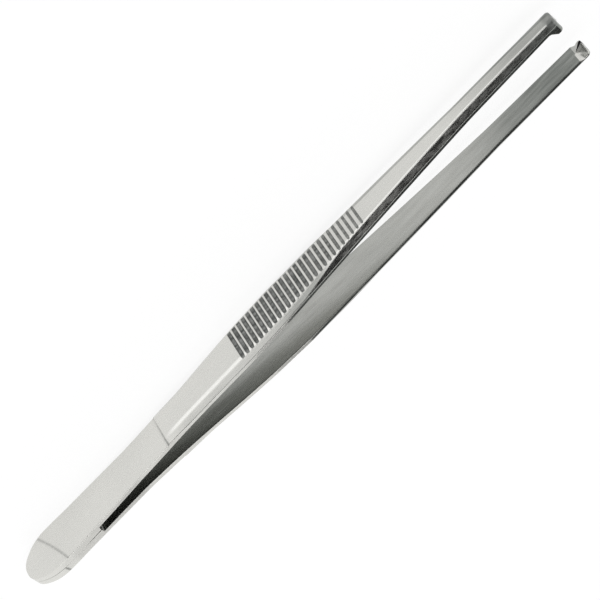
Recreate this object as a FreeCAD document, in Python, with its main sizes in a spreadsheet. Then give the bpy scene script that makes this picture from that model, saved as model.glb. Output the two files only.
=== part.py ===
"""Thumb forceps with one tooth against two, as a parametric document.

Two stamped steel blades are welded face to face at the heel.  Each blade has a thick
pad at the heel, a thin spring, and a thicker bowed arm that narrows to a toothed tip.
The blades share one form.  Only their teeth differ: one blade has a single tooth,
the other has two teeth with a notch between them that takes it.

A blade is drawn from the heel: x runs to the tip, y away from the other blade,
z across the width.  In the finished part +X points to the tips, +Z is up with the
forceps lying on the blades' edges, and the two-toothed blade is on the +Y side.
"""

import FreeCAD
import Part
import Sketcher

import os

Vector = FreeCAD.Vector

doc = FreeCAD.newDocument("thumb_forceps")
sheet = doc.addObject("Spreadsheet::Sheet", "Sizes")


class Size:
    """A length with the sheet expression that gives it, so both stay together."""

    def __init__(self, value, text):
        self.value = value
        self.text = text

    def combine(self, other, sign, swapped=False):
        if not isinstance(other, Size):
            other = Size(float(other), repr(other))
        first, second = (other, self) if swapped else (self, other)
        results = {
            "+": lambda: first.value + second.value,
            "-": lambda: first.value - second.value,
            "*": lambda: first.value * second.value,
            "/": lambda: first.value / second.value,
        }
        return Size(results[sign](), "(%s %s %s)" % (first.text, sign, second.text))

    def __add__(self, other):
        return self.combine(other, "+")

    def __radd__(self, other):
        return self.combine(other, "+", True)

    def __sub__(self, other):
        return self.combine(other, "-")

    def __rsub__(self, other):
        return self.combine(other, "-", True)

    def __mul__(self, other):
        return self.combine(other, "*")

    def __rmul__(self, other):
        return self.combine(other, "*", True)

    def __truediv__(self, other):
        return self.combine(other, "/")

    def __neg__(self):
        return Size(-self.value, "(0 - %s)" % self.text)


def size(alias, value, meaning):
    """Writes one driving dimension into the next row of the sheet."""
    row = size.rows = getattr(size, "rows", 0) + 1
    sheet.set("A%d" % row, meaning)
    sheet.set("B%d" % row, str(value))
    sheet.setAlias("B%d" % row, alias)
    return Size(float(value), "Sizes." + alias)


# Lengths along the blade, all from the heel.
overall_length = size("overall_length", 145.0, "heel to tips")
seam_length = size("seam_length", 12.8, "welded seam, from the heel")
pad_length = size("pad_length", 17.1, "thick heel pad, from the heel")
spring_middle = size("spring_middle", 26.6, "where the spring starts to splay")
spring_end = size("spring_end", 38.1, "shoulder where the thin spring ends")

# The gap between the blades, and each blade's thickness.
seam_opening = size("seam_opening", 0.12, "hairline gap past the weld")
gap_at_pad = size("gap_at_pad", 1.6, "gap beside the pad")
gap_at_spring = size("gap_at_spring", 1.96, "gap at the spring's middle")
gap_at_shoulder = size("gap_at_shoulder", 3.0, "gap at the shoulder")
gap_at_tips = size("gap_at_tips", 9.5, "gap at the tips")
arm_bow = size("arm_bow", 0.99, "how far the arm bows out past a straight line")
bow_fade = size("bow_fade", 0.55, "how much less it bows towards the tip")
heel_thickness = size("heel_thickness", 1.42, "steel at the heel, beside the seam")
spring_thickness = size("spring_thickness", 0.93, "steel in the spring")
grip_thickness = size("grip_thickness", 1.69, "steel in the arm, from shoulder to grip")
arm_thickness = size("arm_thickness", 1.86, "steel where the arm has tapered")
tip_thickness = size("tip_thickness", 1.40, "steel at the tip")
thinning_length = size("thinning_length", 24.0, "arm's thinning towards the tip")
pad_root_radius = size("pad_root_radius", 0.5, "root of the pad's step")

# The outline on the flat.
nose_width = size("nose_width", 4.3, "flat of the rounded heel")
nose_radius = size("nose_radius", 3.6, "corners of the heel")
cheek_from_heel = size("cheek_from_heel", 4.4, "corner of the heel's cheeks")
cheek_radius = size("cheek_radius", 9.4, "cheeks of the heel")
heel_width = size("heel_width", 10.6, "widest at the heel")
heel_end = size("heel_end", 10.0, "where the heel starts to narrow")
spring_width = size("spring_width", 8.85, "spring")
spring_start = size("spring_start", 29.0, "where the spring is parallel")
grip_width = size("grip_width", 10.6, "widest at the grip")
grip_start = size("grip_start", 66.0, "start of the grip's parallel part")
grip_end = size("grip_end", 70.0, "end of the grip's parallel part")
taper_end_width = size("taper_end_width", 5.3, "end of the arm's taper")
tip_width = size("tip_width", 4.76, "tip")

# The bevels along the arm's outer edges.  They are shallow at the grip and steep on
# the arm, and the steep facet starts as a wedge beside the serration.
grip_bevel_width = size("grip_bevel_width", 1.42, "grip bevel, across the width")
grip_bevel_depth = size("grip_bevel_depth", 1.06, "grip bevel, through the steel")
arm_bevel_width = size("arm_bevel_width", 1.50, "arm bevel, across the width")
arm_bevel_depth = size("arm_bevel_depth", 1.20, "arm bevel, through the steel")
tip_bevel_depth = size("tip_bevel_depth", 0.75, "tip bevel, through the steel")
wedge_swell = size("wedge_swell", 0.156, "how far the wedge's crest stands out")

# The ground flats on the grip's edges, which the forceps lies on.
edge_grinding = size("edge_grinding", 0.05, "taken off each edge of the grip")

# The serration on the grip's outer flat.
first_groove = size("first_groove", 60.2, "first groove, from the heel")
groove_pitch = size("groove_pitch", 1.292, "groove to groove")
groove_count = size("groove_count", 27, "grooves on each blade")
groove_width = size("groove_width", 0.90, "groove at the surface")
groove_floor = size("groove_floor", 0.42, "groove at its floor")
groove_depth = size("groove_depth", 0.30, "first groove's depth")
groove_fade = size("groove_fade", 0.12, "how much shallower the last one is")

# The heel's outer face is ground thinner up to a slanting crease.
crease_from_heel = size("crease_from_heel", 7.1, "crease, at the blade's middle")
crease_slant = size("crease_slant", 3.9, "how far the crease slants over the width")
heel_thinning = size("heel_thinning", 0.35, "taken off the end of the heel")

# The teeth.  The pair's notch takes the single tooth with a clearance all round.
tooth_height = size("tooth_height", 1.72, "pair of teeth, from the inner face")
tooth_length = size("tooth_length", 2.75, "pair of teeth, along the blade")
tooth_spacing = size("tooth_spacing", 3.3, "point to point across the pair")
tooth_shoulder = size("tooth_shoulder", 0.38, "drop from a point to the side")
single_tooth_height = size("single_tooth_height", 1.0, "single tooth, at the end")
single_tooth_length = size("single_tooth_length", 2.2, "single tooth, along the blade")
single_tooth_width = size("single_tooth_width", 4.6, "single tooth, at the end")
tooth_clearance = size("tooth_clearance", 0.08, "between notch and single tooth")
seat_depth = size("seat_depth", 0.62, "seats beside the single tooth, at the sides")
tip_corner = size("tip_corner", 0.8, "rounding of the tip, seen on the flat")


def number(place):
    return place.value if isinstance(place, Size) else float(place)


def add_constraint(sketch, name, expression, *facts):
    """Adds a dimension to a sketch and ties it to its sheet expression."""
    index = sketch.addConstraint(Sketcher.Constraint(*facts))
    sketch.renameConstraint(index, name)
    sketch.setExpression("Constraints." + name, expression)


def place_point(sketch, name, geometry, end, x, y):
    """Holds one point of a sketch at x and y from the sketch's origin."""
    for letter, axis, place in (("x", -2, x), ("y", -1, y)):
        if isinstance(place, Size):
            facts = ("Distance" + letter.upper(), -1, 1, geometry, end, place.value)
            add_constraint(sketch, name + "_" + letter, place.text, *facts)
        else:
            facts = ("PointOnObject", geometry, end, axis)
            sketch.addConstraint(Sketcher.Constraint(*facts))


def draw_outline(sketch, corners, name="corner"):
    """Draws a closed outline of straight sides through corners given as (x, y)."""
    points = [Vector(number(x), number(y), 0) for x, y in corners]
    sides = []
    for start, end in zip(points, points[1:] + points[:1]):
        sides.append(sketch.addGeometry(Part.LineSegment(start, end), False))
    for i, (x, y) in enumerate(corners):
        before, after = sides[i - 1], sides[i]
        sketch.addConstraint(Sketcher.Constraint("Coincident", before, 2, after, 1))
        place_point(sketch, "%s_%d" % (name, i), after, 1, x, y)


def new_sketch(body, name, role, offset=None):
    """An empty sketch on one of the body's own origin planes, or offset from it."""
    plane = [f for f in body.Origin.OriginFeatures if f.Role == role][0]
    sketch = body.newObject("Sketcher::SketchObject", name)
    sketch.AttachmentSupport = [(plane, "")]
    sketch.MapMode = "FlatFace"
    if offset is not None:
        sketch.AttachmentOffset = FreeCAD.Placement(Vector(0, 0, offset.value), FreeCAD.Rotation())
        sketch.setExpression("AttachmentOffset.Base.z", offset.text)
    return sketch


def feature(body, kind, name, sketch):
    made = body.newObject("PartDesign::" + kind, name)
    made.Profile = sketch
    return made


def round_edges(body, name, radius, wanted):
    """Rounds the edges of the body that wanted(edge) picks."""
    doc.recompute()
    picked = ["Edge%d" % (i + 1) for i, edge in enumerate(body.Shape.Edges) if wanted(edge)]
    base = body.Tip
    made = body.newObject("PartDesign::Fillet", name)
    made.Base = (base, picked)
    made.Radius = radius.value
    made.setExpression("Radius", radius.text)
    doc.recompute()
    return made


def runs_along(axis, corners):
    """Picks edges that run along one axis (0, 1 or 2) through one of the corners."""
    across = [i for i in range(3) if i != axis]

    def wanted(edge):
        for corner in corners:
            pairs = [(v.Point[a], number(c)) for v in edge.Vertexes for a, c in zip(across, corner)]
            if all(abs(found - place) < 0.001 for found, place in pairs):
                return True
        return False

    return wanted


def mirrored(corners):
    """The same corners on the blade's other edge."""
    return [(x, -z) for x, z in corners]


def ease(share):
    """A smooth rise from 0 to 1 with flat ends."""
    return share * share * (3 - 2 * share)


def half_gap(x):
    """Half the gap at x: a straight line from shoulder to tip plus the arm's bow."""
    share = (x - spring_end) / (overall_length - spring_end)
    line = gap_at_shoulder / 2 + (gap_at_tips - gap_at_shoulder) / 2 * share
    return line + 4 * share * (1 - share) * (arm_bow - bow_fade * share)


def arm_section(body, name, x, half_width, thickness, bevel_width, bevel_depth, crest):
    """A cross-section of the arm: flat inner face, short sides, bevels, outer flat.

    The bevel is two facets that meet at a crest.  The crest lies at a share of the way
    from the ridge to the side, and stands out by the wedge's swell at mid-way.
    """
    sketch = new_sketch(body, name, "YZ_Plane", x)
    inner = half_gap(x)
    outer = inner + thickness
    swell = wedge_swell * (4 * crest * (1 - crest))
    edge = [
        (inner, half_width),
        (outer - bevel_depth, half_width),
        (outer - bevel_depth * crest + swell, half_width - bevel_width * (1 - crest) + swell),
        (outer, half_width - bevel_width),
    ]
    draw_outline(sketch, edge + mirrored(edge)[::-1])
    return sketch


# The arm tapers from the grip to where its steel starts to thin towards the tip.
taper_end = overall_length - thinning_length


def arm_sections(body, label):
    """The arm's cross-sections, from the shoulder to the tip."""
    sections = []

    def add(x, half_width, thickness, width, depth, crest):
        name = "%s_arm_%d" % (label, len(sections))
        sections.append(arm_section(body, name, x, half_width, thickness, width, depth, crest))

    grip_half = grip_width / 2 + edge_grinding
    for share in (0, 0.35, 0.7, 1):
        x = spring_end + (grip_start - spring_end) * share
        half_width = spring_width / 2 + (grip_half - spring_width / 2) * ease(share)
        depth = grip_bevel_depth if share else grip_thickness - spring_thickness
        add(x, half_width, grip_thickness, grip_bevel_width, depth, 0.94)
    for share, crest in ((0, 0.92), (0.12, 0.62), (0.27, 0.2), (0.5, 0.2), (0.75, 0.2)):
        x = grip_end + (taper_end - grip_end) * share
        narrower = (grip_half - taper_end_width / 2) * (share + 0.08 * share * (1 - share))
        thickness = grip_thickness + (arm_thickness - grip_thickness) * ease(share / 0.75)
        turn = min(1, share / 0.27)
        width = grip_bevel_width + (arm_bevel_width - grip_bevel_width) * turn
        depth = grip_bevel_depth + (arm_bevel_depth - grip_bevel_depth) * turn
        add(x, grip_half - narrower, thickness, width, depth, crest)
    for share in (0, 0.5, 1):
        x = taper_end + thinning_length * share
        half_width = (taper_end_width + (tip_width - taper_end_width) * share) / 2
        thickness = arm_thickness + (tip_thickness - arm_thickness) * (share * share)
        depth = arm_bevel_depth + (tip_bevel_depth - arm_bevel_depth) * (share * share)
        add(x, half_width, thickness, arm_bevel_width, depth, 0.2)
    return sections


# The heel and the spring, seen from the edge.
pad_root = (pad_length, gap_at_pad / 2)
HEEL_SIDE = [
    (0, 0),
    (seam_length, 0),
    (pad_length, seam_opening / 2),
    pad_root,
    (spring_middle, gap_at_spring / 2),
    (spring_end, gap_at_shoulder / 2),
    (spring_end, gap_at_shoulder / 2 + spring_thickness),
    (spring_middle, gap_at_spring / 2 + spring_thickness),
    (seam_length, heel_thickness),
    (0, heel_thickness),
]

# The same seen on the flat, one edge from the heel to the shoulder.
nose = (0, nose_width / 2)
cheek = (cheek_from_heel, heel_width / 2)
HEEL_PLAN = [
    nose,
    cheek,
    (heel_end, heel_width / 2),
    (spring_start, spring_width / 2),
    (spring_end, spring_width / 2),
]


def build_blade(label):
    body = doc.addObject("PartDesign::Body", label)
    body.Label = label

    profile = new_sketch(body, label + "_heel_side", "XY_Plane")
    draw_outline(profile, HEEL_SIDE)
    strip = feature(body, "Pad", label + "_heel", profile)
    strip.Midplane = True
    strip.setExpression("Length", (heel_width * 2).text)
    round_edges(body, label + "_pad_root", pad_root_radius, runs_along(2, [pad_root]))

    plan = new_sketch(body, label + "_heel_plan", "XZ_Plane")
    past = heel_width
    offcut = [(-past, nose_width / 2)] + HEEL_PLAN + [(spring_end, past), (-past, past)]
    draw_outline(plan, offcut, "upper")
    draw_outline(plan, mirrored(offcut), "lower")
    cut_through(body, label + "_heel_trim", plan)
    round_edges(body, label + "_nose", nose_radius, runs_along(1, [nose] + mirrored([nose])))
    round_edges(body, label + "_cheeks", cheek_radius, runs_along(1, [cheek] + mirrored([cheek])))

    sections = arm_sections(body, label)
    arm = feature(body, "AdditiveLoft", label + "_arm", sections[0])
    arm.Sections = sections[1:]
    doc.recompute()
    grind_edges(body, label)
    thin_heel(body, label)
    cut_serration(body, label)
    return body


def cut_through(body, name, sketch):
    """Cuts a sketch's outlines right through the body, both ways."""
    cut = feature(body, "Pocket", name, sketch)
    cut.Type = "ThroughAll"
    cut.Midplane = True
    return cut


def grind_edges(body, label):
    """Grinds the grip's two edges flat and parallel."""
    sketch = new_sketch(body, label + "_edge_flats", "XZ_Plane")
    start = spring_end + (grip_start - spring_end) / 2
    flat = [
        (start, grip_width / 2),
        (taper_end, grip_width / 2),
        (taper_end, grip_width),
        (start, grip_width),
    ]
    draw_outline(sketch, flat, "upper")
    draw_outline(sketch, mirrored(flat), "lower")
    cut_through(body, label + "_edge_grinding", sketch)


def thin_heel(body, label):
    """Grinds the heel's outer face thinner, up to a crease that slants over it."""
    sections = []
    for side in (-1, 1):
        z = heel_width * side
        name = "%s_crease_%s" % (label, "low" if side < 0 else "high")
        sketch = new_sketch(body, name, "XY_Plane", z)
        crease = crease_from_heel + crease_slant * side
        past = -crease_from_heel
        fall = heel_thinning / crease_from_heel
        draw_outline(sketch, [
            (crease, heel_thickness),
            (past, heel_thickness + fall * (past - crease)),
            (past, heel_thickness + heel_width),
            (crease, heel_thickness + heel_width),
        ])
        sections.append(sketch)
    facet = feature(body, "SubtractiveLoft", label + "_heel_facet", sections[0])
    facet.Sections = sections[1:]
    facet.Ruled = True


def cut_serration(body, label):
    """Mills the grooves across the outer flat along a straight line.

    The line leaves the bowed surface slowly, so the last grooves are shallower.
    """
    sketch = new_sketch(body, label + "_groove", "XY_Plane")
    last_groove = first_groove + groove_pitch * (groove_count - 1)
    share = (last_groove - grip_end) / (taper_end - grip_end) / 0.75
    last_thickness = grip_thickness + (arm_thickness - grip_thickness) * ease(share)
    surface = half_gap(first_groove) + grip_thickness
    last_surface = half_gap(last_groove) + last_thickness
    wall = (groove_width - groove_floor) / 2
    above = groove_depth / 2
    mouth = groove_width / 2 + wall / 2
    draw_outline(sketch, [
        (first_groove - mouth, surface + above),
        (first_groove - groove_floor / 2, surface - groove_depth),
        (first_groove + groove_floor / 2, surface - groove_depth),
        (first_groove + mouth, surface + above),
    ])
    path = Part.LineSegment(
        Vector(first_groove.value, surface.value, 0),
        Vector(last_groove.value, (last_surface + groove_fade).value, 0),
    )
    line = sketch.addGeometry(path, True)
    place_point(sketch, "path_start", line, 1, first_groove, surface)
    place_point(sketch, "path_end", line, 2, last_groove, last_surface + groove_fade)
    groove = cut_through(body, label + "_first_groove", sketch)
    pattern = body.newObject("PartDesign::LinearPattern", label + "_serration")
    pattern.Originals = [groove]
    pattern.Direction = (sketch, ["Axis0"])
    pattern.setExpression("Length", (groove_pitch * (groove_count - 1)).text)
    pattern.setExpression("Occurrences", groove_count.text)
    body.Tip = pattern
    doc.recompute()


tip_inner = gap_at_tips / 2
tooth_back = overall_length - tooth_length


def add_tooth_pair(body, label):
    """A flared lip at the tip, with a notch that leaves two teeth."""
    sketch = new_sketch(body, label + "_lip_side", "XY_Plane")
    base = half_gap(tooth_back)
    flare = ((0.18, 0.1), (0.42, 0.54), (0.64, 0.93), (0.82, 1))
    draw_outline(sketch, [
        (tooth_back, base),
        *[(tooth_back + tooth_length * a, base - tooth_height * b) for a, b in flare],
        (overall_length, tip_inner - tooth_height),
        (overall_length, tip_inner + tip_thickness / 2),
        (tooth_back, tip_inner + tip_thickness / 2),
    ])
    lip = feature(body, "Pad", label + "_lip", sketch)
    lip.Midplane = True
    lip.setExpression("Length", tip_width.text)

    sketch = new_sketch(body, label + "_notch", "YZ_Plane", overall_length)
    point = tip_inner - tooth_height
    half_notch = tooth_spacing / 2
    side = tip_width / 2
    beyond = tip_inner - tooth_height * 2
    draw_outline(sketch, [
        (tip_inner - tooth_clearance, 0),
        (point, half_notch),
        (beyond, half_notch),
        (beyond, -half_notch),
        (point, -half_notch),
    ], "notch")
    flank = [
        (point, half_notch),
        (point + tooth_shoulder, side),
        (point + tooth_shoulder, tip_width),
        (beyond, tip_width),
        (beyond, half_notch),
    ]
    draw_outline(sketch, flank, "flank")
    draw_outline(sketch, mirrored(flank), "other_flank")
    teeth = feature(body, "Pocket", label + "_teeth", sketch)
    teeth.setExpression("Length", tooth_length.text)


def add_single_tooth(body, label):
    """One tooth whose ridge rises to the end, and a sloping seat on each side of it."""
    start = overall_length - single_tooth_length
    sections = []
    for x, share, name in ((overall_length, 1, "end"), (start, 0.02, "back")):
        sketch = new_sketch(body, "%s_tooth_%s" % (label, name), "YZ_Plane", x)
        inner = half_gap(x)
        half = single_tooth_width / 2 * share
        draw_outline(sketch, [
            (inner + tip_thickness / 2, half),
            (inner, half),
            (inner - single_tooth_height * share, 0),
            (inner, -half),
            (inner + tip_thickness / 2, -half),
        ])
        sections.append(sketch)
    deepest = start + single_tooth_length * 0.35
    places = (
        (start, 0.06, 0.12, "back"),
        (deepest, 1, 0.4, "middle"),
        (overall_length, 0.1, 0.94, "end"),
    )
    for side in (1, -1):
        seat = []
        for x, share, root, name in places:
            which = "high" if side > 0 else "low"
            sketch = new_sketch(body, "%s_seat_%s_%s" % (label, which, name), "YZ_Plane", x)
            inner = half_gap(x)
            edge = tip_width * 0.6 * side
            draw_outline(sketch, [
                (inner, single_tooth_width / 2 * root * side),
                (inner + seat_depth * share, edge),
                (inner - tip_thickness, edge),
                (inner - tip_thickness, single_tooth_width / 2 * root * side),
            ])
            seat.append(sketch)
        cut = feature(body, "SubtractiveLoft", "%s_seat_%s" % (label, which), seat[0])
        cut.Sections = seat[1:]
        cut.Ruled = True
    tooth = feature(body, "AdditiveLoft", label + "_tooth", sections[0])
    tooth.Sections = sections[1:]
    tooth.Ruled = True


def round_tip(body, label):
    """Takes the tip's two corners off in facets that follow a quarter circle."""
    sketch = new_sketch(body, label + "_tip_corners", "XZ_Plane")
    side = tip_width / 2
    arc = ((1, 0), (0.62, 0.08), (0.29, 0.29), (0.08, 0.62), (0, 1))
    offcut = [(overall_length - tip_corner * a, side - tip_corner * b) for a, b in arc]
    offcut += [(overall_length + tip_corner, side - tip_corner)]
    offcut += [(overall_length + tip_corner, side + tip_corner)]
    offcut += [(overall_length - tip_corner, side + tip_corner)]
    draw_outline(sketch, offcut, "upper")
    draw_outline(sketch, mirrored(offcut), "lower")
    cut_through(body, label + "_tip_rounding", sketch)


def lay_down(body, turn):
    """Sets a blade in the part's frame, lying on the grip's edge flats."""
    body.Placement = FreeCAD.Placement(Vector(0, 0, 0), FreeCAD.Rotation(Vector(1, 0, 0), turn))
    body.setExpression("Placement.Base.x", (-(overall_length / 2)).text)
    body.setExpression("Placement.Base.z", (grip_width / 2).text)


two_toothed = build_blade("two_toothed_blade")
add_tooth_pair(two_toothed, "two_toothed_blade")
round_tip(two_toothed, "two_toothed_blade")
lay_down(two_toothed, 0)

single_toothed = build_blade("single_toothed_blade")
add_single_tooth(single_toothed, "single_toothed_blade")
round_tip(single_toothed, "single_toothed_blade")
lay_down(single_toothed, 180)

doc.recompute()
failed = [item.Label for item in doc.Objects if {"Invalid", "Error"} & set(item.State)]
if failed:
    raise RuntimeError("failed objects: " + ", ".join(failed))
os.makedirs("parts", exist_ok=True)
for blade in (two_toothed, single_toothed):
    if blade.Shape.isNull() or not blade.Shape.isValid() or len(blade.Shape.Solids) != 1:
        raise RuntimeError(blade.Label + " is not one valid solid")
    blade.Shape.exportStep("parts/%s.step" % blade.Label)
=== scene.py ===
"""Thumb forceps with one tooth against two, dressed in satin steel.

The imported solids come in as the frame.  Each blade is replaced by a finer surface of the
same form, with rounded ridges, milled grooves and ground teeth.
"""

import math

import bpy
import numpy as np
from mathutils import Matrix, Vector


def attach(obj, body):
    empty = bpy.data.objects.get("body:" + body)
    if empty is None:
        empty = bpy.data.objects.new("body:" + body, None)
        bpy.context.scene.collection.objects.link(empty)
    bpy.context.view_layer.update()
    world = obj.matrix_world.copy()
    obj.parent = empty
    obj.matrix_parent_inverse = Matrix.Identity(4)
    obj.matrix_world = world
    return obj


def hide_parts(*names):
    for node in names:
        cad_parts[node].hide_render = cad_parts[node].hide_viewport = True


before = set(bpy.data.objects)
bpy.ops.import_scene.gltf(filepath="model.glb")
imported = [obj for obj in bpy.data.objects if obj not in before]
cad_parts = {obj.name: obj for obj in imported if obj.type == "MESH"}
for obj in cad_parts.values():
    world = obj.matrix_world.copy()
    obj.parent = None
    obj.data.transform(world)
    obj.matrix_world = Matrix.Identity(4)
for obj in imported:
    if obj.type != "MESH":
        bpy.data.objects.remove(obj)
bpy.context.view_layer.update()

# The two blades, alike but for their tips.  Each is stamped from stainless steel: a thick
# heel pad, a thin spring, and a bowed arm that is ground with two bevels.  They are welded
# face to face at the heel.

# Sizes are in millimetres.  Places are counted from the heel, and heights from the middle
# between the blades, with y away from the other blade.
MM = 0.001
LENGTH = 145.0

# The inner face, seen from the side.  A gap is its height at a place.
SEAM_END = 12.8
SEAM_OPENING = 0.06
PAD_END = 17.1
PAD_ROOT = 0.5
SPRING_GAP = 0.80
SPRING_MIDDLE = 26.6
MIDDLE_GAP = 0.98
SPRING_END = 38.1
SHOULDER_GAP = 1.50
TIP_GAP = 4.75
ARM_BOW = 0.99
BOW_LEAN = 0.55


def half_gap(x):
    """A straight line from the shoulder to the tip, plus a bow that fades to the tip."""
    share = (x - SPRING_END) / (LENGTH - SPRING_END)
    line = SHOULDER_GAP + (TIP_GAP - SHOULDER_GAP) * share
    return line + 4 * share * (1 - share) * (ARM_BOW - BOW_LEAN * share)


def spring_face(x):
    """The spring's inner face: a parabola that splays away from the pad."""
    first, second = SPRING_MIDDLE - PAD_END, SPRING_END - PAD_END
    half_way, whole = MIDDLE_GAP - SPRING_GAP, SHOULDER_GAP - SPRING_GAP
    bend = (whole - half_way * second / first) / (second * (second - first))
    slope = half_way / first - bend * first
    return SPRING_GAP + slope * (x - PAD_END) + bend * (x - PAD_END) ** 2


def inner_face(x):
    """Seam, slit and rounded pad root, then the spring's line, then the arm's bow."""
    slit = SEAM_OPENING * np.clip((x - SEAM_END) / (PAD_END - SEAM_END), 0, 1)
    from_root = np.clip(PAD_END + PAD_ROOT - x, 0, PAD_ROOT)
    root = SPRING_GAP - PAD_ROOT + np.sqrt(PAD_ROOT**2 - from_root**2)
    spring = np.where(x < PAD_END + PAD_ROOT, root, spring_face(x))
    return np.where(x <= PAD_END, slit, np.where(x < SPRING_END, spring, half_gap(x)))


# The steel's thickness, which gives the outer face.
HEEL_THICKNESS = 1.42
SPRING_THICKNESS = 0.93
GRIP_THICKNESS = 1.69
ARM_THICKNESS = 1.86
TIP_THICKNESS = 1.40
GRIP_END = 70.0
TAPER_END = 121.0
THICKEST_SHARE = 0.75  # of the taper's length
HEEL_SHARPNESS = 2.0  # of the turn from the flat heel to the rise


def ease(share):
    """Smooth rise from 0 to 1: three times the square less twice the cube."""
    share = np.clip(share, 0, 1)
    return share * share * (3 - 2 * share)


def rise(x, start, length, amount=1):
    """A smooth rise from 0 at start to the whole amount, a length further on.

    Each change along the blade is kept as those values: start, length and amount.
    """
    return amount * ease((x - start) / length)


def fall(x, start, length, amount=1):
    """A smooth fall from the whole amount at start to 0, a length further on."""
    return amount * (1 - ease((x - start) / length))


def thinning(x):
    """How far x is along the thinning towards the tip."""
    return np.clip((x - TAPER_END) / (LENGTH - TAPER_END), 0, 1)


def heel_face(x):
    """The outer face of the heel and spring: flat, then a rise to the spring's own line."""
    slope = (MIDDLE_GAP + SPRING_THICKNESS - HEEL_THICKNESS) / (SPRING_MIDDLE - SEAM_END)
    past_seam = np.logaddexp(0, (x - SEAM_END) * HEEL_SHARPNESS) / HEEL_SHARPNESS
    rising = HEEL_THICKNESS + slope * past_seam
    return np.where(x < SPRING_MIDDLE, rising, spring_face(x) + SPRING_THICKNESS)


def outer_face(x):
    """The spring's line, then the arm's bow plus its steel, thickest before the tip."""
    thicker = ease((x - GRIP_END) / (TAPER_END - GRIP_END) / THICKEST_SHARE)
    steel = GRIP_THICKNESS + (ARM_THICKNESS - GRIP_THICKNESS) * thicker
    steel = steel + (TIP_THICKNESS - ARM_THICKNESS) * thinning(x) ** 2
    return np.where(x < SPRING_END, heel_face(x), half_gap(x) + steel)


# The outline, seen on the flat.  Grinding takes a thin edge off the grip, which leaves it
# straight.
SPRING_HALF = 4.425
GRIP_START = 66.0
GRIP_HALF = 5.30
TAPER_HALF = 2.65
TAPER_BULGE = 0.08
TIP_HALF = 2.38
EDGE_GRINDING = 0.05
SAMPLE_MARGIN = 10
SAMPLES = 1400
SAMPLES_AVERAGED = 41


def half_width(x):
    """Half the arm's width: a swell to the grip, then a taper, averaged over 3.7 mm."""
    even = np.linspace(SPRING_END - SAMPLE_MARGIN, LENGTH + SAMPLE_MARGIN, SAMPLES)
    full = GRIP_HALF + EDGE_GRINDING
    to_grip = ease((even - SPRING_END) / (GRIP_START - SPRING_END))
    swell = SPRING_HALF + (full - SPRING_HALF) * to_grip
    share = np.clip((even - GRIP_END) / (TAPER_END - GRIP_END), 0, 1)
    taper = (full - TAPER_HALF) * (share + TAPER_BULGE * share * (1 - share))
    width = swell - taper + (TIP_HALF - TAPER_HALF) * thinning(even)
    kernel = np.hanning(SAMPLES_AVERAGED)
    padded = np.pad(width, SAMPLES_AVERAGED // 2, mode="edge")
    width = np.convolve(padded, kernel / kernel.sum(), mode="valid")
    return np.minimum(np.interp(x, even, width), GRIP_HALF)


# The heel's rounded end: a short straight nose, and two arcs to its full width.
NOSE_START = 0.2
NOSE_HALF, NOSE_RADIUS = 2.15, 3.6
FLARE_END, FLARE_RADIUS = 4.4, 9.4
HEEL_END, HEEL_HALF = 10.0, 5.30
SPRING_START = 29.0


def heel_outline(steps):
    """The heel's rounded end as (x, half width): straight sides with two arcs between."""
    corners = np.array([(0, 0.0), (0, NOSE_HALF), (FLARE_END, HEEL_HALF), (HEEL_END, HEEL_HALF)])
    path = [corners[:1] + (0, NOSE_START)]
    for i, radius in ((1, NOSE_RADIUS), (2, FLARE_RADIUS)):
        before, here, after = corners[i - 1], corners[i], corners[i + 1]
        a = (before - here) / np.linalg.norm(before - here)
        b = (after - here) / np.linalg.norm(after - here)
        half = math.acos(float(a @ b)) / 2
        reach = radius / math.tan(half)
        centre = here + (a + b) / np.linalg.norm(a + b) * radius / math.sin(half)
        start, end = here + a * reach - centre, here + b * reach - centre
        turn = math.atan2(start[0] * end[1] - start[1] * end[0], float(start @ end))
        angle = np.linspace(0, turn, steps)[:, None]
        side = np.array([-start[1], start[0]])
        path.append(centre + start * np.cos(angle) + side * np.sin(angle))
    return np.concatenate(path)


# The serration: 27 straight grooves across the outer flat, each with a flat floor and
# sloping walls.  The cutter runs straight while the arm bows, so the last ones are
# shallower, and their floors are a little narrower.
FIRST_GROOVE, GROOVE_PITCH, GROOVES = 60.2, 1.292, 27
LAST_GROOVE = FIRST_GROOVE + GROOVE_PITCH * (GROOVES - 1)
GROOVE_DEPTH, GROOVE_FADE = 0.30, 0.12
GROOVE_FLOOR, GROOVE_SLOPE, GROOVE_ROUND = 0.21, 1.25, 0.04
FLOOR_NARROWING = (80, 12, 0.07)


def groove_height(x):
    """Height of the cutter's profile at x: the nearest groove's floor plus its wall."""
    number = np.clip(np.round((x - FIRST_GROOVE) / GROOVE_PITCH), 0, GROOVES - 1)
    ends = outer_face(np.array([FIRST_GROOVE, LAST_GROOVE]))
    line = ends[0] + (ends[1] + GROOVE_FADE - ends[0]) * number / (GROOVES - 1)
    off = np.abs(x - FIRST_GROOVE - GROOVE_PITCH * number)
    past_floor = np.maximum(off - (GROOVE_FLOOR - rise(x, *FLOOR_NARROWING)), 0)
    wall = np.sqrt(past_floor**2 + GROOVE_ROUND**2) - GROOVE_ROUND
    return line - GROOVE_DEPTH + GROOVE_SLOPE * wall


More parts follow.
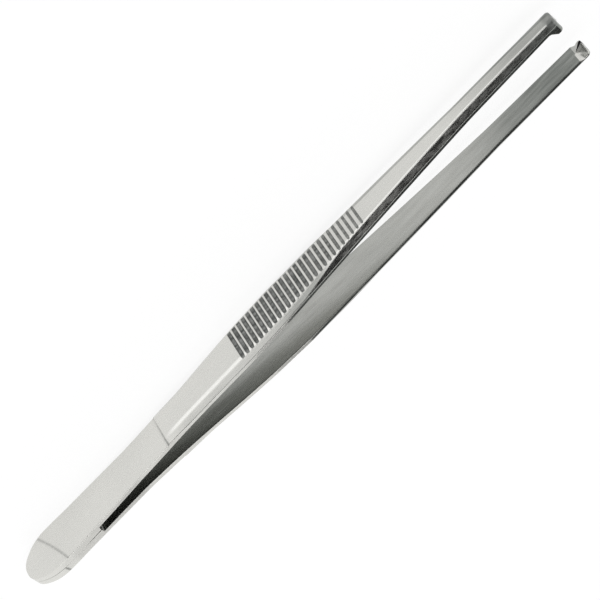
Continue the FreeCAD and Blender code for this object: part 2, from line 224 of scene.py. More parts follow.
# Stretches of evenly spaced rings along the blade, as start, end and how many.
CREASE_RINGS = (4.6, 9.2, 36)
WELD_RINGS = (9.3, SEAM_END, 7)
SLIT_RINGS = (13.4, PAD_END, 6)
SPRING_RINGS = (17.9, 37.4, 25)
SHOULDER_RINGS = (37.7, 39.2, 24)
ARM_RINGS = (39.7, 59.4, 38)
TAPER_RINGS = (94.6, 141.6, 68)
TEETH_RINGS = (142.0, 144.75, 26)
GROOVE_RINGS = np.array([-0.6, -0.52, -0.44, -0.38, -0.32, -0.25, -0.19, -0.1,
                         0.0, 0.1, 0.19, 0.25, 0.32, 0.38, 0.44, 0.52])
NOSE_STEPS, ROOT_STEPS, END_STEPS = 14, 8, 5
NOSE_RINGS_END = 4.5
QUARTER_TURN = 1.57
END_ROUND = 0.14


def stations():
    """Places along the blade with its half width there, close together at the details."""
    outline = heel_outline(NOSE_STEPS)
    centres = FIRST_GROOVE + GROOVE_PITCH * np.arange(GROOVES)
    grooves = (centres[:, None] + GROOVE_RINGS).ravel()
    root_round = PAD_END + PAD_ROOT * (1 - np.cos(np.linspace(0.02, QUARTER_TURN, ROOT_STEPS)))
    end_round = LENGTH - END_ROUND * (1 - np.sin(np.linspace(0, QUARTER_TURN, END_STEPS)))
    later = np.concatenate([
        np.linspace(*WELD_RINGS), np.linspace(*SLIT_RINGS), root_round,
        np.linspace(*SPRING_RINGS), np.linspace(*SHOULDER_RINGS), np.linspace(*ARM_RINGS),
        grooves, np.linspace(*TAPER_RINGS), np.linspace(*TEETH_RINGS), end_round,
    ])
    nose = outline[outline[:, 0] < NOSE_RINGS_END]
    crease = np.linspace(*CREASE_RINGS)
    to_spring = np.interp(later, [HEEL_END, SPRING_START], [HEEL_HALF, SPRING_HALF])
    widths = np.where(later < SPRING_END, to_spring, half_width(later))
    x = np.concatenate([nose[:, 0], crease, later])
    return x, np.concatenate([nose[:, 1], np.interp(crease, *outline.T), widths])


# The bevels.  Each is two facets that meet at a crest.  The crest's share is how far down
# the bevel's depth it lies: near the side at the grip, and near the ridge on the arm.  The
# bevel is shallower at the shoulder and at the tip.
GRIP_BEVEL_WIDTH, ARM_BEVEL_WIDTH = 1.42, 1.50
GRIP_BEVEL_DEPTH, ARM_BEVEL_DEPTH, TIP_BEVEL_DEPTH = 1.06, 1.20, 0.75
BEVEL_GROWN_SHARE = 0.27
SHOULDER_SHALLOWING = (SPRING_END, 8, 0.30)
CREST_PLACES = (66, 75.5, 81.5, 88)
CREST_SHARES = (0.94, 0.90, 0.62, 0.20)
CREST_SWELL = 0.156
SPRING_BEVEL, SPRING_CREST_SHARE, SPRING_SWELL = 0.14, 0.5, 0.03


def section_corners(x, width):
    """One half of the section, from the inner face's middle to the outer face's middle."""
    arm = x >= SPRING_END
    inner = inner_face(x)
    outer = outer_face(x)
    grown = np.clip((x - GRIP_END) / (TAPER_END - GRIP_END) / BEVEL_GROWN_SHARE, 0, 1)
    wide = GRIP_BEVEL_WIDTH + (ARM_BEVEL_WIDTH - GRIP_BEVEL_WIDTH) * grown
    wide = np.where(arm, wide, SPRING_BEVEL)
    deep = GRIP_BEVEL_DEPTH + (ARM_BEVEL_DEPTH - GRIP_BEVEL_DEPTH) * grown
    deep = deep + (TIP_BEVEL_DEPTH - ARM_BEVEL_DEPTH) * thinning(x) ** 2
    deep = np.where(arm, deep - fall(x, *SHOULDER_SHALLOWING), SPRING_BEVEL)
    crest = np.where(arm, np.interp(x, CREST_PLACES, CREST_SHARES), SPRING_CREST_SHARE)
    swell = np.where(arm, CREST_SWELL * 4 * crest * (1 - crest), SPRING_SWELL)
    zero = np.zeros_like(x)
    corners = [
        (inner, zero), (inner, width), (outer - deep, width),
        (outer - deep * crest + swell, width - wide * (1 - crest) + swell),
        (outer, width - wide), (outer, zero),
    ]
    return [np.stack(corner, axis=-1) for corner in corners]


# How far each corner's rounding reaches: the inner edge, which is sharp along the seam,
# the side's edge, the crest and the ridge, both of them rounder on the arm.
INNER_EDGE_PLACES = (6.8, 8.5, SEAM_END, SEAM_END + 1)
INNER_EDGE_REACHES = (0.12, 0.03, 0.03, 0.09)
SIDE_EDGE_REACH = 0.12
CREST_REACH, CREST_ROUNDER = 0.04, (78, 12, 0.16)
RIDGE_REACH, RIDGE_ROUNDER = 0.22, (78, 12, 0.05)
LARGEST_REACH_SHARE = 0.45
CORNER_POINTS = (4, 4, 4, 5)
SIDE_SPACES = (17, 3, 9, 5, 10)


def round_corner(before, corner, after, reach, steps):
    """A quadratic curve that leaves one side and joins the next at reach from the corner."""
    back, ahead = before - corner, after - corner
    back_length = np.linalg.norm(back, axis=-1, keepdims=True) + 1e-9
    ahead_length = np.linalg.norm(ahead, axis=-1, keepdims=True) + 1e-9
    shorter = np.minimum(back_length, ahead_length)
    reach = np.minimum(reach, LARGEST_REACH_SHARE * shorter)
    start = (corner + back / back_length * reach)[:, None]
    end = (corner + ahead / ahead_length * reach)[:, None]
    t = np.linspace(0, 1, steps)[None, :, None]
    return start * (1 - t) ** 2 + corner[:, None] * 2 * t * (1 - t) + end * t * t


def half_section(x, width):
    """Rounds the half section's corners and fills its sides with evenly spaced points."""
    corners = section_corners(x, width)
    reaches = (
        np.interp(x, INNER_EDGE_PLACES, INNER_EDGE_REACHES),
        np.full_like(x, SIDE_EDGE_REACH),
        CREST_REACH + rise(x, *CREST_ROUNDER),
        RIDGE_REACH + rise(x, *RIDGE_ROUNDER),
    )
    curves = [corners[0][:, None]]
    for i, (reach, steps) in enumerate(zip(reaches, CORNER_POINTS), 1):
        trio = corners[i - 1:i + 2]
        curves.append(round_corner(*trio, reach[:, None], steps))
    curves.append(corners[5][:, None])
    pieces = []
    for i, count in enumerate(SIDE_SPACES):
        start, end = curves[i][:, -1:], curves[i + 1][:, :1]
        share = np.arange(1, count)[None, :, None] / count
        pieces += [curves[i], start + (end - start) * share]
    pieces.append(curves[-1])
    return np.concatenate(pieces, axis=1)


# Where each stretch of the half section starts, as a number of points from the inner
# face's middle.  The side's edge is shared: what is done to the outside starts half way.
INNER_EDGE = SIDE_SPACES[0]
SIDE = INNER_EDGE + CORNER_POINTS[0]
SIDE_EDGE = SIDE + SIDE_SPACES[1] - 1
STEEP_FACET = SIDE_EDGE + CORNER_POINTS[1]
CREST = STEEP_FACET + SIDE_SPACES[2] - 1
UPPER_FACET = CREST + CORNER_POINTS[2]
RIDGE = UPPER_FACET + SIDE_SPACES[3] - 1
OUTER = RIDGE + CORNER_POINTS[3]
OUTSIDE = SIDE_EDGE + 2

# The crease: the heel's outer face is ground thinner up to a fold that slants over it, and
# shade is painted along the fold.
CREASE_PLACE, CREASE_SLANT, CREASE_CURVE = 7.27, 0.375, 0.01
CREASE_HALF, CREASE_DEPTH, CREASE_SHADE = 0.24, 0.04, 0.5
HEEL_SLOPE = 0.049
HEEL_GROUND_END = 12

# The shoulder: a step up from the spring to the arm, with a painted shade line at its foot,
# darker on the near half.
STEP_HEIGHT, STEP_START, STEP_LENGTH = 0.9, SPRING_END - 0.05, 0.5
STEP_ROUND = 0.05
STEP_REACH = (SPRING_END - 0.3, SPRING_END + 1.5)
FOOT_HALF, FOOT_SHADE, FOOT_SHADE_SLANT = 0.28, 0.45, 0.07

# The grooves' rounded edges, and the rough steel and painted shade in them, which is a
# little lighter from 76 mm on.
GROOVE_EDGE_ROUND = 0.035
GROOVE_SHADE_DEPTH, GROOVE_SHADE_FULL = 0.01, 0.1
GROOVE_SHADE_FADE = (76, 18, 0.15)


def soft_min(a, b, width):
    """The lower of two heights, with their crossing rounded over the given width."""
    blend = np.clip(0.5 + 0.5 * (b - a) / width, 0, 1)
    return b + (a - b) * blend - width * blend * (1 - blend)


def worked_outer_face(along, y, z, outside):
    """The heights with the crease, step and grooves cut in, and rough steel and painted shade in
    them.
    """
    crease = CREASE_PLACE + CREASE_SLANT * z - CREASE_CURVE * z**2
    heel = along < HEEL_GROUND_END
    fold = np.exp(-((along - crease) / CREASE_HALF) ** 2) * heel
    face = HEEL_THICKNESS + HEEL_SLOPE * (along - crease)
    top = np.where(heel, np.minimum(y, face), y) - CREASE_DEPTH * fold * outside
    # Painted shade along the fold.
    rough_and_shade = CREASE_SHADE * fold * outside

    step = SHOULDER_GAP + SPRING_THICKNESS + rise(along, STEP_START, STEP_LENGTH, STEP_HEIGHT)
    near = (along >= STEP_REACH[0]) & (along < STEP_REACH[1])
    top = np.where(near, soft_min(top, step, STEP_ROUND), top)
    foot = np.exp(-((along - SPRING_END) / FOOT_HALF) ** 2)
    # Painted shade along the step's foot.
    rough_and_shade = rough_and_shade + foot * (FOOT_SHADE + FOOT_SHADE_SLANT * z) * outside

    serrated = (along > FIRST_GROOVE - 1) & (along < LAST_GROOVE + GROOVE_PITCH)
    cut = soft_min(top, groove_height(along), GROOVE_EDGE_ROUND)
    cut = np.where(serrated, cut, top)
    # Painted shade in the grooves, full where the cut is 0.11 mm deep.
    groove_shade = ease((top - cut - GROOVE_SHADE_DEPTH) / GROOVE_SHADE_FULL)
    return cut, rough_and_shade + groove_shade * (1 - rise(along, *GROOVE_SHADE_FADE))


# The painted shade along the blade, as start, length and amount of each change: a darker
# steel colour that stands in for darker reflections on the inner faces, the sides, the
# outer face, the bevels, the tips and the far ridge.  The bevels were ground by hand.
INNER_PAINTED_SHADE = 0.52
INNER_SHADE = (45, 30, 0.25)
INNER_TIP_SHADE = (108, 28, 0.48)
SIDE_SHADE = (69, 6)
OUTER_ARM_SHADE = (84, 10, 0.06)
OUTER_TIP_SHADE = (112, 34, 0.64)
BEVEL_TIP_SHADE = (118, 18, 0.35)
BEVEL_SHADE_START = (38, 6, 0.15)
BESIDE_GRIP_SHADE = (64, 12, 0.40)
BESIDE_GRIP_END = (82, 8)
FAR_RIDGE_SHADE = (84, 16, 0.5)


def painted_shading(along, place, side):
    """How much shade is painted on the steel: inner face, side, outer face, bevel and far ridge.
    """
    outside = place >= OUTSIDE
    inner = INNER_PAINTED_SHADE + fall(along, *INNER_SHADE) + rise(along, *INNER_TIP_SHADE)
    outer = rise(along, *OUTER_ARM_SHADE) + rise(along, *OUTER_TIP_SHADE)
    beside_grip = rise(along, *BEVEL_SHADE_START) + rise(along, *BESIDE_GRIP_SHADE)
    bevel = outer + rise(along, *BEVEL_TIP_SHADE) + beside_grip * fall(along, *BESIDE_GRIP_END)
    painted_shade = np.where(outside, outer, inner)
    painted_shade = np.where(outside & (place < RIDGE - 1), bevel, painted_shade)
    # The far half's ridge gets more painted shade.
    far_ridge = (side < 0) & (place >= UPPER_FACET) & (place <= OUTER)
    painted_shade = painted_shade + far_ridge * rise(along, *FAR_RIDGE_SHADE)
    return np.where((place > INNER_EDGE + 1) & ~outside, rise(along, *SIDE_SHADE), painted_shade)


# The bevels' hand grinding, which also darkens their colour as painted shade, and a
# painted highlight on the ridge beside the grip and on the crest along the arm.
GRIP_GRINDING_AND_SHADE = (38, 4, 0.5)
ARM_GRINDING_AND_SHADE = (70, 14, 0.5)
RIDGE_HIGHLIGHT_START = (38, 4)
RIDGE_HIGHLIGHT_END = (72, 8)
CREST_HIGHLIGHT_START = (80, 7)
CREST_HIGHLIGHT_FADE = (118, 20, 0.3)
CREST_HIGHLIGHT_END = 143.4


def grinding_and_highlight(x, place):
    """Two masks over a half section: hand-ground bevels with painted shade, and painted
    highlights.
    """
    ground_and_shaded = rise(x, *GRIP_GRINDING_AND_SHADE) + rise(x, *ARM_GRINDING_AND_SHADE)
    ridge = rise(x, *RIDGE_HIGHLIGHT_START) * fall(x, *RIDGE_HIGHLIGHT_END)
    crest = rise(x, *CREST_HIGHLIGHT_START) * (1 - rise(x, *CREST_HIGHLIGHT_FADE))
    crest = crest * (x < CREST_HIGHLIGHT_END)
    # The grinding mask roughens the bevels and also darkens their colour as painted shade.
    grinding_and_shade = ground_and_shaded[:, None] * ((place > OUTSIDE) & (place < CREST))
    # A painted highlight on the ridge beside the grip and on the crest along the arm.
    painted_highlight = ridge[:, None] * ((place >= RIDGE) & (place < OUTER))
    return grinding_and_shade, painted_highlight + crest[:, None] * ((place >= CREST) & (place < RIDGE))


# Painted shade for a nick in the weld's edge on the far half, and over the outer face's last
# millimetres, and the tip's roundings: on the outer face, in plan, and round the very end.
NICK_PLACE, NICK_LEAN, NICK_HALF, NICK_ABOVE, NICK_SHADE = 7.0, 0.2, 0.22, 0.1, 0.8
TIP_SHADE = (142.6, 1.2, 0.55)
OUTER_ROUND, OUTER_DROP, OUTER_ROUND_SHARE = 0.5, 0.42, 0.98
TIP_CORNER, TIP_CORNER_SHARE = 0.8, 0.999
END_SHRINK = 0.05


def whole_ring(near, far):
    """Joins the near half of each ring to the far half, run backwards.

    The near half is the one that lies uppermost on the two-toothed blade.
    """
    return np.concatenate([near, far[:, -2:0:-1]], axis=1)


def blade_rings(shape_tip):
    """The blade as rings of points (station, place round the section, x y z).

    Five masks come with them: rough steel and painted shade in the crease, at the step's
    foot, in the grooves, at a nick and over the tip; grinding on the bevels, with some
    painted shade; painted shade along the blade; a painted highlight on the near side's
    ridges; and a painted shadow, which the tip's own shape places.
    """
    x, width = stations()
    half = half_section(x, width)
    y, z = half[..., 0], half[..., 1]
    along = np.repeat(x[:, None], y.shape[1], axis=1)
    place = np.arange(y.shape[1])
    outside = place >= OUTSIDE
    fade = np.clip((OUTSIDE - 1 - place) / (OUTSIDE - SIDE), 0, 1)
    halves = []
    for side in (1, -1):
        top, rough_and_shade = worked_outer_face(along, y, z * side, outside)
        nick = np.exp(-((along - NICK_PLACE - NICK_LEAN * y) / NICK_HALF) ** 2)
        nick = nick * (y > NICK_ABOVE) * (place > INNER_EDGE) * ~outside
        # Painted shade for the nick, on the far half only.
        rough_and_shade = rough_and_shade + NICK_SHADE * nick * (side < 0)
        # Painted shade over the outer face's last millimetres.
        rough_and_shade = rough_and_shade + outside * rise(along, *TIP_SHADE)
        height, tooth_shade, painted_shadow = shape_tip(along, z * side)
        # Painted shade along the blade, then the tip's own painted shade over the inner face.
        painted_shade = painted_shading(along, place, side)
        painted_shade = np.where(tooth_shade < 0, painted_shade, painted_shade + (tooth_shade - painted_shade) * fade)
        end = np.clip((along - (LENGTH - OUTER_ROUND)) / OUTER_ROUND, 0, 1)
        drop = OUTER_DROP * (1 - np.sqrt(1 - (end * OUTER_ROUND_SHARE) ** 2))
        top = top + height * fade - drop * outside
        corner = (along - (LENGTH - TIP_CORNER)) / TIP_CORNER
        corner = np.clip(corner, 0, TIP_CORNER_SHARE)
        narrow = 1 - TIP_CORNER / TIP_HALF * (1 - np.sqrt(1 - corner**2))
        points = np.stack([along, top, z * side * narrow], axis=-1)
        halves.append((points, np.clip(rough_and_shade, 0, 1), np.clip(painted_shade, 0, 1), painted_shadow * fade))
    ring, rough_and_shade, painted_shade, painted_shadow = (whole_ring(near, far) for near, far in zip(*halves))
    grinding_and_shade, painted_highlight = grinding_and_highlight(x, place)

    # The last rings draw in, so the end's edges are rounded.
    centre = ring.mean(axis=1, keepdims=True)
    closing = np.clip((x - (LENGTH - END_ROUND)) / END_ROUND, 0, 1)
    shrink = 1 - END_SHRINK * (1 - np.sqrt(1 - closing**2))
    ring[..., 1:] = centre[..., 1:] + (ring - centre)[..., 1:] * shrink[:, None, None]
    # The painted highlight goes on the near half only.
    return ring, {
        "rough_and_shade": rough_and_shade, "grinding_and_shade": whole_ring(grinding_and_shade, grinding_and_shade), "painted_shade": painted_shade,
        "painted_highlight": whole_ring(painted_highlight, np.zeros_like(painted_highlight)), "painted_shadow": painted_shadow,
    }


def tube_mesh(name, rings, masks):
    """A closed skin over rings of points, with a fan at each end."""
    count, around = rings.shape[:2]
    index = np.arange(count * around).reshape(count, around)
    following = np.roll(index, -1, axis=1)
    quads = np.stack([index[:-1], following[:-1], following[1:], index[1:]], axis=-1)
    points = rings.reshape(-1, 3)
    centres = rings[[0, -1]].mean(axis=1)
    first, last = len(points), len(points) + 1
    start = np.stack([np.full(around, first), following[0], index[0]], axis=-1)
    end = np.stack([np.full(around, last), index[-1], following[-1]], axis=-1)
    faces = quads.reshape(-1, 4).tolist() + start.tolist() + end.tolist()
    mesh = bpy.data.meshes.new(name)
    mesh.from_pydata(np.concatenate([points, centres]).tolist(), [], faces)
    mesh.update()
    for mask, values in masks.items():
        layer = mesh.attributes.new(mask, "FLOAT", "POINT")
        layer.data.foreach_set("value", np.append(values.ravel(), [0, 0]).astype(np.float32))
    return mesh


# The steel's colours.  A pair is the dark and the light end that noise moves between.  The
# clean steel is the steel's own colour; the rest are painted: shade, shade over rough steel,
# a highlight and a black shadow.
CLEAN = ((0.70, 0.697, 0.665), (0.74, 0.735, 0.70))
SHADED_STEEL = ((0.16, 0.17, 0.158), (0.30, 0.312, 0.295))
SHADED_ROUGH_STEEL = ((0.10, 0.105, 0.10), (0.30, 0.305, 0.295))
HIGHLIGHT_COLOUR = (0.95, 0.945, 0.91, 1)
SHADOW_BLACK = (0.03, 0.03, 0.03, 1)
# How much the grinding mask darkens the bevels, as painted shade.
GRINDING_SHADE = 0.35

# Its roughness, in pairs of the same kind, and the height of its grain.
SATIN_ROUGHNESS = ((0.22,) * 3, (0.32,) * 3)
GROUND_ROUGHNESS = ((0.14,) * 3, (0.36,) * 3)
ROUGH_STEEL_ROUGHNESS = (0.5, 0.5, 0.5, 1)
GRAIN_HEIGHT = 0.15
BUMP_STRENGTH, BUMP_DISTANCE = 0.5, 0.04 * MM


def brushed_steel():
    """Satin stainless steel with a fine lengthwise grain, small pits, soft blotches, and painted
    shade, highlight and shadow.
    """
    material = bpy.data.materials.new("satin_stainless_steel")
    material.use_nodes = True
    nodes, links = material.node_tree.nodes, material.node_tree.links
    nodes.clear()
    output = nodes.new("ShaderNodeOutputMaterial")
    steel = nodes.new("ShaderNodeBsdfPrincipled")
    steel.inputs["Specular IOR Level"].default_value = 0.0
    links.new(steel.outputs["BSDF"], output.inputs["Surface"])
    place = nodes.new("ShaderNodeTexCoord")

    def noise(scale, lengthwise, detail):
        turn = nodes.new("ShaderNodeMapping")
        turn.inputs["Scale"].default_value = (lengthwise, 1, 1)
        links.new(place.outputs["Object"], turn.inputs["Vector"])
        made = nodes.new("ShaderNodeTexNoise")
        made.inputs["Scale"].default_value = scale
        made.inputs["Detail"].default_value = detail
        links.new(turn.outputs["Vector"], made.inputs["Vector"])
        return made.outputs["Fac"]

    def ramp(source, ends, low=0.3, high=0.7):
        made = nodes.new("ShaderNodeValToRGB")
        links.new(source, made.inputs["Fac"])
        for element, position, colour in zip(made.color_ramp.elements, (low, high), ends):
            element.position = position
            element.color = (*colour, 1)
        return made.outputs["Color"]

    def mask(name):
        made = nodes.new("ShaderNodeAttribute")
        made.attribute_name = name
        return made.outputs["Fac"]

    def mix(kind, factor, first, second):
        made = nodes.new("ShaderNodeMix")
        made.data_type = kind
        links.new(factor, made.inputs["Factor"])
        ends = [s for s in made.inputs if s.enabled and s.name in "AB"]
        for socket, value in zip(ends, (first, second)):
            if isinstance(value, bpy.types.NodeSocket):
                links.new(value, socket)
            else:
                socket.default_value = value
        return [s for s in made.outputs if s.enabled][0]

    def times(source, amount):
        made = nodes.new("ShaderNodeMath")
        made.operation = "MULTIPLY"
        made.inputs[1].default_value = amount
        links.new(source, made.inputs[0])
        return made.outputs["Value"]

    grain = noise(scale=2600, lengthwise=0.06, detail=4)
    fleck = noise(scale=1500, lengthwise=0.35, detail=5)
    blotch = noise(scale=120, lengthwise=0.6, detail=4)
    streak = noise(scale=900, lengthwise=0.12, detail=5)

    # Colour, from the clean steel outwards: painted shade, grinding that darkens it a little
    # more as painted shade, a painted highlight, rough steel with painted shade, and a painted
    # black shadow, where the steel is no metal.
    clean = ramp(blotch, CLEAN)
    # Painted shade: a darker, streaky steel colour mixed in by its mask.
    shaded = mix("RGBA", mask("painted_shade"), clean, ramp(streak, SHADED_STEEL))
    shaded_rough = ramp(fleck, SHADED_ROUGH_STEEL, low=0.35, high=0.65)
    # Painted shade on the bevels, mixed in a little by the grinding mask.
    ground_and_shaded = mix("RGBA", times(mask("grinding_and_shade"), GRINDING_SHADE), shaded, shaded_rough)
    # A painted highlight, mixed in by its mask.
    highlighted = mix("RGBA", mask("painted_highlight"), ground_and_shaded, HIGHLIGHT_COLOUR)
    # Rough steel with painted shade, mixed in by its mask.
    cut = mix("RGBA", mask("rough_and_shade"), highlighted, shaded_rough)
    links.new(mix("RGBA", mask("painted_shadow"), cut, SHADOW_BLACK), steel.inputs["Base Color"])
    links.new(mix("FLOAT", mask("painted_shadow"), 1.0, 0.0), steel.inputs["Metallic"])

    # Roughness and height.
    satin = ramp(grain, SATIN_ROUGHNESS)
    worked = ramp(fleck, GROUND_ROUGHNESS)
    finish = mix("RGBA", mask("grinding_and_shade"), satin, worked)
    links.new(mix("RGBA", mask("rough_and_shade"), finish, ROUGH_STEEL_ROUGHNESS), steel.inputs["Roughness"])
    height = mix("FLOAT", mask("grinding_and_shade"), times(grain, GRAIN_HEIGHT), fleck)
    bump = nodes.new("ShaderNodeBump")
    bump.inputs["Strength"].default_value = BUMP_STRENGTH
    bump.inputs["Distance"].default_value = BUMP_DISTANCE
    links.new(height, bump.inputs["Height"])
    links.new(bump.outputs["Normal"], steel.inputs["Normal"])
    return material


blade_steel = brushed_steel()
SHARP_FROM = math.radians(38)


def add_blade(node, shape_tip, over):
    """Puts a ground blade in its solid's place.  An over of -1 turns the stamping over."""
    rings, masks = blade_rings(shape_tip)
    placed = rings * (1, over, over) + (-LENGTH / 2, 0, GRIP_HALF)
    mesh = tube_mesh(node + "_ground", placed * MM, masks)
    mesh.shade_smooth()
    mesh.set_sharp_from_angle(angle=SHARP_FROM)
    mesh.materials.append(blade_steel)
    blade = bpy.data.objects.new(node + "_ground", mesh)
    bpy.context.scene.collection.objects.link(blade)
    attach(blade, "root")
    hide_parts(node)


# The two-toothed blade.  Its tip flares inwards to a lip, and a ground V-notch leaves two
# teeth.  It is one piece of stainless steel, with nothing fixed to it.

LIP_START, LIP_LENGTH, LIP_HEIGHT = 142.25, 2.75, 1.70
FLARE_ALONG = np.array([0, 0.18, 0.42, 0.64, 0.82, 1])
FLARE_UP = np.array([0, 0.1, 0.54, 0.93, 1, 1])
NOTCH_HALF = 1.65
NOTCH_FLOOR_GAP, POINT_GAP = 4.67, 3.03
FLANK_SLOPE = 0.52
# Painted shade over the lip.
LIP_SHADE = 0.9
UNTOUCHED = -1  # stands for a painted shade where the teeth leave the blade's own


def pair_of_teeth(x, z):
    """Height added to the inner face, its own painted shade, and an empty painted shadow.

    The height is the lip's flare, cut by a V-notch and by two flanks.
    """
    base = half_gap(x)
    lip_x = LIP_START + LIP_LENGTH * FLARE_ALONG
    lip_y = half_gap(np.float64(LIP_START)) - LIP_HEIGHT * FLARE_UP
    lip = np.interp(x, lip_x, lip_y)
    off = np.abs(z)
    notch = NOTCH_FLOOR_GAP - (NOTCH_FLOOR_GAP - POINT_GAP) * off / NOTCH_HALF
    flank = POINT_GAP + FLANK_SLOPE * (off - NOTCH_HALF)
    face = np.minimum(base, np.maximum(lip, np.where(off < NOTCH_HALF, notch, flank)))
    on_lip = x > LIP_START
    painted_shade = np.where(on_lip, LIP_SHADE, UNTOUCHED)
    return np.where(on_lip, face - base, 0), painted_shade, np.zeros_like(x)


add_blade("two_toothed_blade", pair_of_teeth, over=1)

# The single-toothed blade.  It is the same stamping of stainless steel turned over.  Its
# tip carries one pyramid that rises to the end, with a ground seat sloping off on each side.

TOOTH_START = 142.8
TOOTH_HALF, TOOTH_HEIGHT = 2.3, 1.0
ROOT_START_HALF, ROOT_END_HALF = 0.28, 2.16
SEAT_DEPTH, SEAT_END_DEPTH, SEAT_HALF = 0.62, 0.06, 2.86
SEAT_DEEPEST = 0.34
SEAT_SOONER, SEAT_LATER = 0.12, 0.02
# Painted shade on the tooth's flanks and on the seat at positive z.
FLANK_SHADE, SEAT_SHADE = 0.3, 0.5
# A painted black shadow on the tooth's flank at positive z, where the steel is no metal.
SHADOW_SHARPNESS, SHADOW_EDGE, SHADOW_OVERLAP = 12, 0.05, 1.05


def single_tooth(x, z):
    """Height added to the inner face, its own painted shade, and a painted shadow on one flank.

    The height is a pyramid's two flanks and a seat beside each, which falls from the tooth
    to the side.  A seat is deepest a third of the way along, and starts sooner on one
    side, where the file ran out.
    """
    share = (x - TOOTH_START) / (LENGTH - TOOTH_START)
    on_tooth = np.clip(share, 0, 1)
    off = np.abs(z)
    base = TOOTH_HALF * on_tooth + 1e-6
    tooth = TOOTH_HEIGHT * on_tooth * np.clip(1 - off / base, 0, 1)
    root = ROOT_START_HALF + (ROOT_END_HALF - ROOT_START_HALF) * on_tooth
    sooner = np.where(z < 0, SEAT_SOONER, SEAT_LATER)
    deeper = SEAT_DEPTH * np.clip((share + sooner) / (SEAT_DEEPEST + sooner), 0, 1)
    to_end = np.clip((1 - share) / (1 - SEAT_DEEPEST), 0, 1)
    depth = np.minimum(deeper, SEAT_END_DEPTH + (SEAT_DEPTH - SEAT_END_DEPTH) * to_end)
    seat = depth * np.clip((off - root) / (SEAT_HALF - root), 0, 1)
    painted_shade = np.where(off < base, FLANK_SHADE, np.where(z > 0, SEAT_SHADE, 0.0))
    # The painted black shadow grows over the tooth's first twelfth.
    shadowed = (z > SHADOW_EDGE) & (off < base * SHADOW_OVERLAP)
    painted_shadow = np.clip(share * SHADOW_SHARPNESS, 0, 1) * shadowed
    return seat - tooth, np.where(share > -sooner, painted_shade, UNTOUCHED), painted_shadow


add_blade("single_toothed_blade", single_tooth, over=-1)

# The floor.  It is plain pale paper, laid flat.  The camera sees it almost white, like the
# room round it, and the steel reflects some of that white.

FLOOR_SIZE = 6.0  # in metres
PAPER = (0.93, 0.93, 0.93, 1)
WHITENESS = 1.12
CAMERA_SHARE = 0.76
METAL_SHARE = 0.66


def flat_mesh(name, wide, high, material):
    """A level rectangle with its middle at the origin."""
    mesh = bpy.data.meshes.new(name)
    right, front = wide / 2, high / 2
    corners = [(-right, -front, 0), (right, -front, 0), (right, front, 0), (-right, front, 0)]
    mesh.from_pydata(corners, [], [(0, 1, 2, 3)])
    mesh.materials.append(material)
    return mesh


def pale_paper():
    """Matt paper that also shines by itself, for the camera and, less, for reflections."""
    material = bpy.data.materials.new("pale_paper")
    material.use_nodes = True
    nodes, links = material.node_tree.nodes, material.node_tree.links
    paper = nodes["Principled BSDF"]
    paper.inputs["Base Color"].default_value = PAPER
    paper.inputs["Roughness"].default_value = 1.0
    paper.inputs["Specular IOR Level"].default_value = 0.0
    rays = nodes.new("ShaderNodeLightPath")
    reflected = nodes.new("ShaderNodeMath")
    reflected.operation = "MAXIMUM"
    links.new(rays.outputs["Is Glossy Ray"], reflected.inputs[0])
    links.new(rays.outputs["Is Transmission Ray"], reflected.inputs[1])
    some = nodes.new("ShaderNodeMath")
    some.operation = "MULTIPLY"
    some.inputs[1].default_value = METAL_SHARE
    links.new(reflected.outputs["Value"], some.inputs[0])
    seen = nodes.new("ShaderNodeMath")
    seen.operation = "MULTIPLY_ADD"
    seen.inputs[1].default_value = CAMERA_SHARE
    links.new(rays.outputs["Is Camera Ray"], seen.inputs[0])
    links.new(some.outputs["Value"], seen.inputs[2])
    white = nodes.new("ShaderNodeEmission")
    white.inputs["Strength"].default_value = WHITENESS
    blend = nodes.new("ShaderNodeMixShader")
    links.new(seen.outputs["Value"], blend.inputs["Fac"])
    links.new(paper.outputs["BSDF"], blend.inputs[1])
    links.new(white.outputs["Emission"], blend.inputs[2])
    links.new(blend.outputs["Shader"], nodes["Material Output"].inputs["Surface"])
    return material


floor = bpy.data.objects.new("floor", flat_mesh("floor", FLOOR_SIZE, FLOOR_SIZE, pale_paper()))
bpy.context.scene.collection.objects.link(floor)

# The camera.  It looks down at about 49 degrees, from the two-toothed blade's side, and
# its frame is turned by 45 degrees, so that the forceps runs from corner to corner.  From
# here on, sizes and places are in metres.

TARGET = Vector((0.0018, 0, 0.0053))
SWING, TILT, ROLL = math.radians(9.83), math.radians(40.38), math.radians(-0.357)
DISTANCE = 0.696
OFF_CENTRE = 0.000614
FOCAL_PIXELS, FRAME_PIXELS = 3729.0, 600.0
SENSOR_WIDTH = 36.0

ahead = Vector((
    math.cos(SWING),
    -math.sin(SWING) * math.sin(TILT),
    -math.sin(SWING) * math.cos(TILT),
))
down = Vector((0, -math.cos(TILT), math.sin(TILT)))
back = Vector((
    math.sin(SWING),
    math.cos(SWING) * math.sin(TILT),
    math.cos(SWING) * math.cos(TILT),
))
rolled_ahead = ahead * math.cos(ROLL) - down * math.sin(ROLL)
rolled_down = ahead * math.sin(ROLL) + down * math.cos(ROLL)
right = (rolled_ahead + rolled_down).normalized()
up = (rolled_ahead - rolled_down).normalized()
eye = TARGET + back * DISTANCE - rolled_down * OFF_CENTRE

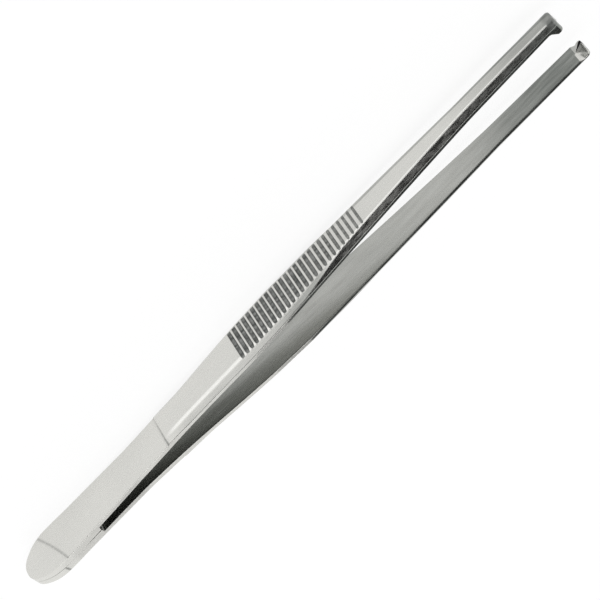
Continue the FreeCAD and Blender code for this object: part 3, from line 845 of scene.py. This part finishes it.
camera_data = bpy.data.cameras.new("camera")
camera_data.sensor_width = SENSOR_WIDTH
camera_data.lens = FOCAL_PIXELS / FRAME_PIXELS * SENSOR_WIDTH
camera_data.clip_start = 0.01
camera = bpy.data.objects.new("camera", camera_data)
camera.matrix_world = Matrix((
    (right.x, up.x, back.x, eye.x),
    (right.y, up.y, back.y, eye.y),
    (right.z, up.z, back.z, eye.z),
    (0, 0, 0, 1),
))
bpy.context.scene.collection.objects.link(camera)
bpy.context.scene.camera = camera

# The room.  Three cards of dark felt stand where the bevels and the inner faces reflect
# them, a soft lamp hangs overhead, and all the rest is white.

FELT = (0.03, 0.03, 0.03, 1)
CARDS = (
    ("dark_card_front", (-0.15, 0.52, 0.72), 1.1, 0.72),
    ("dark_card_low", (0.18, 0.52, 0.23), 0.35, 0.31),
    ("dark_card_rear", (0.26, -0.42, 0.50), 0.78, 0.44),
)
LAMP_PLACE, LAMP_SIZE, LAMP_POWER = (-0.5, 0.3, 1.3), 0.9, 2.0


def facing(place, target):
    """A turn that points an object's -Z axis from its place to the target."""
    return (Vector(target) - Vector(place)).to_track_quat("-Z", "Y").to_euler()


felt = bpy.data.materials.new("dark_felt")
felt.use_nodes = True
felt.node_tree.nodes["Principled BSDF"].inputs["Base Color"].default_value = FELT
felt.node_tree.nodes["Principled BSDF"].inputs["Roughness"].default_value = 1.0

for name, place, wide, high in CARDS:
    card = bpy.data.objects.new(name, flat_mesh(name, wide, high, felt))
    card.location = place
    card.rotation_euler = facing(place, (place[0], 0, 0))
    bpy.context.scene.collection.objects.link(card)

lamp_data = bpy.data.lights.new("overhead_lamp", "AREA")
lamp_data.shape = "RECTANGLE"
lamp_data.size, lamp_data.size_y = LAMP_SIZE, LAMP_SIZE
lamp_data.energy = LAMP_POWER
lamp = bpy.data.objects.new("overhead_lamp", lamp_data)
lamp.location = LAMP_PLACE
lamp.rotation_euler = facing(LAMP_PLACE, (0, 0, 0))
bpy.context.scene.collection.objects.link(lamp)

world = bpy.data.worlds.new("white_room")
world.use_nodes = True
world.node_tree.nodes["Background"].inputs["Color"].default_value = (1, 1, 1, 1)
world.node_tree.nodes["Background"].inputs["Strength"].default_value = 1.0
bpy.context.scene.world = world

bpy.context.scene.view_settings.view_transform = "Standard"
